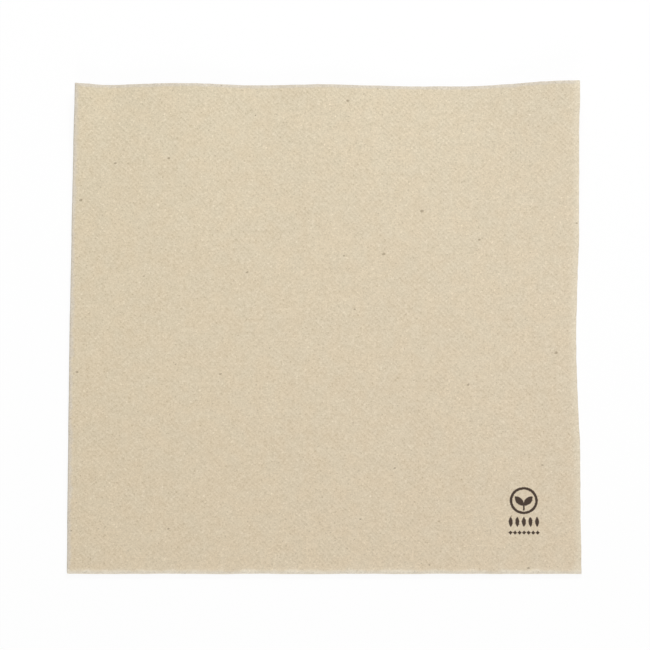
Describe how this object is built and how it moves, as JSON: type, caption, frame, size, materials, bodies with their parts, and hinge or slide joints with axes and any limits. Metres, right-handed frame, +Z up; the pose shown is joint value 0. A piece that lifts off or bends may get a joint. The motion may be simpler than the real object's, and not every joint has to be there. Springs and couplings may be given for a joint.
{
  "type": "paper napkin",
  "caption": "Square tissue napkin folded into a soft square, with rounded fold edges, open cut edges and a lifted corner.",
  "frame": {"origin": "middle of the napkin's footprint, on the surface it lies on", "axes": "+Z up, away from the surface; +Y from the second fold at the front to the open back edge; +X from the first fold at the left to the open right edge"},
  "size_m": [0.166, 0.165, 0.008],
  "materials": {
    "tissue": "matte"
  },
  "bodies": {
    "root": {"folded_napkin": "tissue"}
  },
  "joints": []
}
